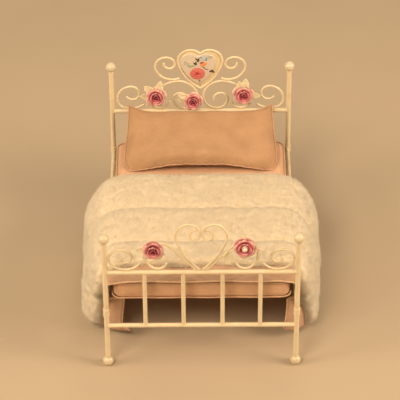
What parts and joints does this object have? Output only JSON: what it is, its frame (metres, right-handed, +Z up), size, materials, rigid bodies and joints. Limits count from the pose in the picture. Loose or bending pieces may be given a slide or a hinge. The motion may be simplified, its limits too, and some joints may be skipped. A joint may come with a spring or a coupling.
{
  "type": "dolls' house bed",
  "caption": "Dolls' house metal bedstead: ball-topped posts, scrolled wire ends, painted heart and roses, with a loose mattress, pillow and ribbed fur comforter that lift off.",
  "frame": {"origin": "on the floor, at the centre of the whole object's bounding box", "axes": "+X to the right seen from the foot, +Y from the foot to the head, +Z up"},
  "size_m": [0.144, 0.1742, 0.1217],
  "materials": {
    "enamel": "cream gloss enamel",
    "rose_petals": "glazed, cream outside to crimson inside",
    "leaves": "glazed cream",
    "porcelain": "glazed white with painted flowers",
    "mattress_cotton": "plain cotton",
    "pillow_cotton": "plain cotton",
    "fur": "short cream faux fur",
    "lining_cotton": "plain cotton"
  },
  "bodies": {
    "bedstead": {"cross_wire_1": "enamel", "cross_wire_2": "enamel", "cross_wire_3": "enamel", "cross_wire_4": "enamel", "finial_foot_left": "enamel", "finial_foot_right": "enamel", "finial_head_left": "enamel", "finial_head_right": "enamel", "foot_ball_foot_left": "enamel", "foot_ball_foot_right": "enamel", "foot_ball_head_left": "enamel", "foot_ball_head_right": "enamel", "foot_crook_scroll_left": "enamel", "foot_crook_scroll_right": "enamel", "foot_heart_wire_left": "enamel", "foot_heart_wire_right": "enamel", "foot_outer_scroll_left": "enamel", "foot_outer_scroll_right": "enamel", "head_centre_scroll_left": "enamel", "head_centre_scroll_right": "enamel", "head_outer_scroll_left": "enamel", "head_outer_scroll_right": "enamel", "head_upper_scroll_left": "enamel", "head_upper_scroll_right": "enamel", "heart_plaque": "porcelain", "heart_rim": "enamel", "leaves_foot_left": "leaves", "leaves_foot_right": "leaves", "leaves_head_left": "leaves", "leaves_head_middle": "leaves", "leaves_head_right": "leaves", "lower_rail_foot": "enamel", "lower_rail_head": "enamel", "post_foot_left": "enamel", "post_foot_right": "enamel", "post_head_left": "enamel", "post_head_right": "enamel", "rose_foot_left": "rose_petals", "rose_foot_right": "rose_petals", "rose_head_left": "rose_petals", "rose_head_middle": "rose_petals", "rose_head_right": "rose_petals", "side_rail_left": "enamel", "side_rail_right": "enamel", "side_rail_sockets": "enamel", "spindle_foot_1": "enamel", "spindle_foot_2": "enamel", "spindle_foot_3": "enamel", "spindle_foot_4": "enamel", "spindle_head_1": "enamel", "spindle_head_2": "enamel", "spindle_head_3": "enamel", "spindle_head_4": "enamel", "upper_rail_foot": "enamel", "upper_rail_head": "enamel"},
    "mattress": {"mattress": "mattress_cotton"},
    "comforter": {"comforter_fur": "fur", "comforter_lining": "lining_cotton"},
    "pillow": {"pillow": "pillow_cotton"}
  },
  "joints": [
    {"name": "mattress_lift", "type": "slide", "parent": "bedstead", "child": "mattress", "axis": [0, 0, 1], "range_m": [0, 0.08]},
    {"name": "comforter_lift", "type": "slide", "parent": "mattress", "child": "comforter", "axis": [0, 0, 1], "range_m": [0, 0.12]},
    {"name": "pillow_lift", "type": "slide", "parent": "mattress", "child": "pillow", "axis": [0, 0, 1], "range_m": [0, 0.07]}
  ]
}
